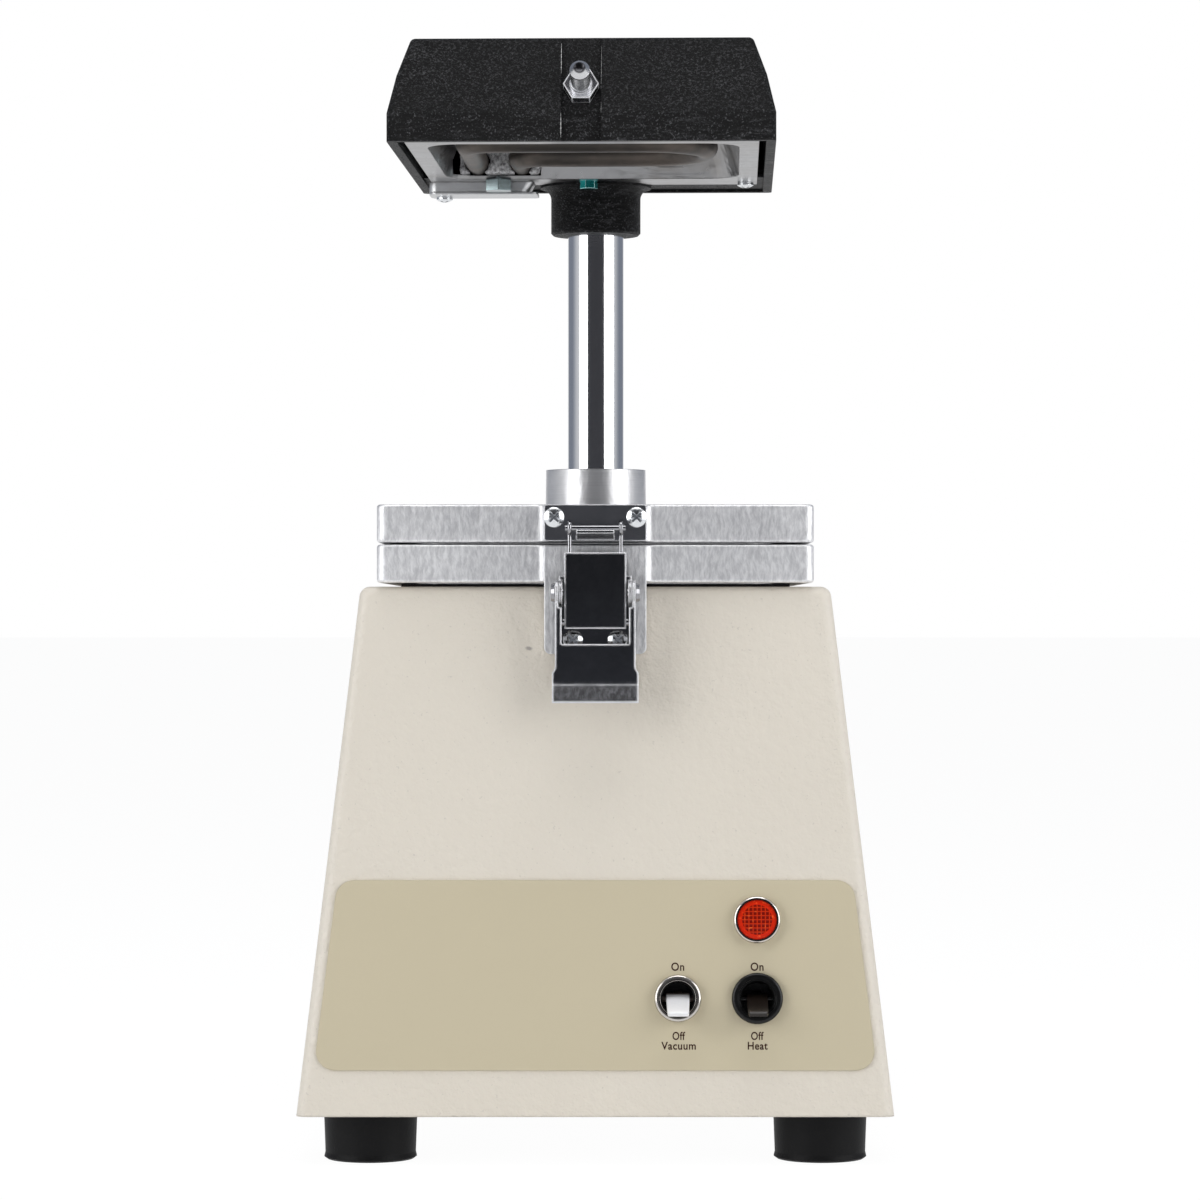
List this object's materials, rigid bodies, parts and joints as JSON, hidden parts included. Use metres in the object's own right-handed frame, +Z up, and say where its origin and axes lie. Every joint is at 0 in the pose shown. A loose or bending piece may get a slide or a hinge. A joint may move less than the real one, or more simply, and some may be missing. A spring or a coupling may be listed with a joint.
{
  "type": "dental vacuum former",
  "caption": "Benchtop dental vacuum former: tapered base with a perforated vacuum plate, clamping frames sliding on a post, and a heater head that swings over them.",
  "frame": {"origin": "middle of the base on the table", "axes": "+X to the right as one faces the control panel, +Y to the back where the post stands, +Z up"},
  "size_m": [0.189, 0.2341, 0.3615],
  "materials": {
    "housing_paint": "beige orange-peel paint on a steel shell",
    "panel_film": "satin olive-beige overlay",
    "black_crackle": "black crackle paint on a casting",
    "chrome": "bright plated steel",
    "cast_aluminium": "ground aluminium with fine tool marks",
    "sheet_steel": "rolled sheet steel",
    "dark_steel": "worn plated steel",
    "zinc_steel": "bright zinc plate",
    "teal_zinc": "blue-green passivated zinc plate",
    "black_rubber": "moulded rubber",
    "black_plastic": "moulded plastic",
    "white_plastic": "moulded plastic",
    "red_lens": "faceted orange-red lens",
    "element_sheath": "heat-browned tube",
    "fibre_pad": "rough light heat-proof fibre board",
    "brass": "plain bearing bronze",
    "white_block": "moulded plastic",
    "red_wire": "insulated leads",
    "switch_black": "moulded plastic"
  },
  "bodies": {
    "base": {"base_housing": "housing_paint", "bottom_plate": "sheet_steel", "rubber_feet": "black_rubber", "foot_screws": "zinc_steel", "control_panel": "panel_film", "lamp_holder": "chrome", "lamp_lens": "red_lens", "vacuum_bezel": "chrome", "heat_bezel": "black_plastic", "switch_bodies": "black_plastic", "panel_nuts": "zinc_steel", "vacuum_plate": "cast_aluminium", "plate_screws": "zinc_steel", "base_gasket": "black_rubber", "plenum": "sheet_steel", "motor_gasket": "black_rubber", "fan_housing": "sheet_steel", "motor_can": "dark_steel", "shaft_bearings": "zinc_steel", "motor_clamp": "sheet_steel", "motor_studs": "zinc_steel", "terminal_block": "white_block", "wiring": "red_wire", "cord_gland": "black_plastic", "post": "chrome", "post_flange": "sheet_steel", "post_screws": "zinc_steel", "thrust_washer": "brass"},
    "rotor": {"fan_wheel": "cast_aluminium", "motor_shaft": "dark_steel"},
    "carriage": {"lower_frame": "cast_aluminium", "carriage_bush": "brass", "friction_pad": "white_plastic", "friction_spring": "zinc_steel", "friction_screw": "dark_steel", "hinge_pin": "zinc_steel", "sheet_gasket": "black_rubber", "latch_base": "dark_steel", "latch_screws": "zinc_steel", "pivot_rivets": "zinc_steel"},
    "lid": {"upper_frame": "cast_aluminium", "strike_plate": "dark_steel", "strike_screws": "zinc_steel"},
    "lever": {"latch_lever": "dark_steel", "link_pin": "zinc_steel"},
    "bail": {"link_plate": "dark_steel", "bail_wires": "zinc_steel", "cross_pin": "zinc_steel"},
    "head": {"heater_hood": "black_crackle", "reflector": "sheet_steel", "heating_element": "element_sheath", "element_pad": "fibre_pad", "terminal_cover": "sheet_steel", "cover_screws": "zinc_steel", "hex_screws": "teal_zinc", "handle_stud": "zinc_steel", "stud_nut": "zinc_steel"},
    "vacuum_toggle": {"vacuum_paddle": "white_plastic"},
    "heat_toggle": {"heat_paddle": "switch_black"}
  },
  "joints": [
    {"name": "fan_spin", "type": "hinge", "parent": "base", "child": "rotor", "pos_m": [0, -0.02415, 0.12], "axis": [0, 0, 1], "continuous": true},
    {"name": "carriage_slide", "type": "slide", "parent": "base", "child": "carriage", "axis": [0, 0, 1], "range_m": [0, 0.083]},
    {"name": "lid_hinge", "type": "hinge", "parent": "carriage", "child": "lid", "pos_m": [0, 0.05, 0.2031], "axis": [-1, 0, 0], "range_deg": [0, 55]},
    {"name": "latch_lever", "type": "hinge", "parent": "carriage", "child": "lever", "pos_m": [0, -0.104, 0.1809], "axis": [-1, 0, 0], "range_deg": [0, 100]},
    {"name": "latch_bail", "type": "hinge", "parent": "lever", "child": "bail", "pos_m": [0, -0.1028, 0.1716], "axis": [-1, 0, 0], "range_deg": [-80, 0]},
    {"name": "head_swing", "type": "hinge", "parent": "base", "child": "head", "pos_m": [0, 0.071, 0.33], "axis": [0, 0, 1], "range_deg": [-150, 150]},
    {"name": "vacuum_switch", "type": "hinge", "parent": "base", "child": "vacuum_toggle", "pos_m": [0.0261, -0.10282, 0.05222], "axis": [-1, 0, 0], "range_deg": [0, 41]},
    {"name": "heat_switch", "type": "hinge", "parent": "base", "child": "heat_toggle", "pos_m": [0.0512, -0.10282, 0.05222], "axis": [-1, 0, 0], "range_deg": [0, 41]}
  ],
  "couplings": [
    {"joint": "latch_bail", "follows": "latch_lever", "ratio": -0.8}
  ]
}
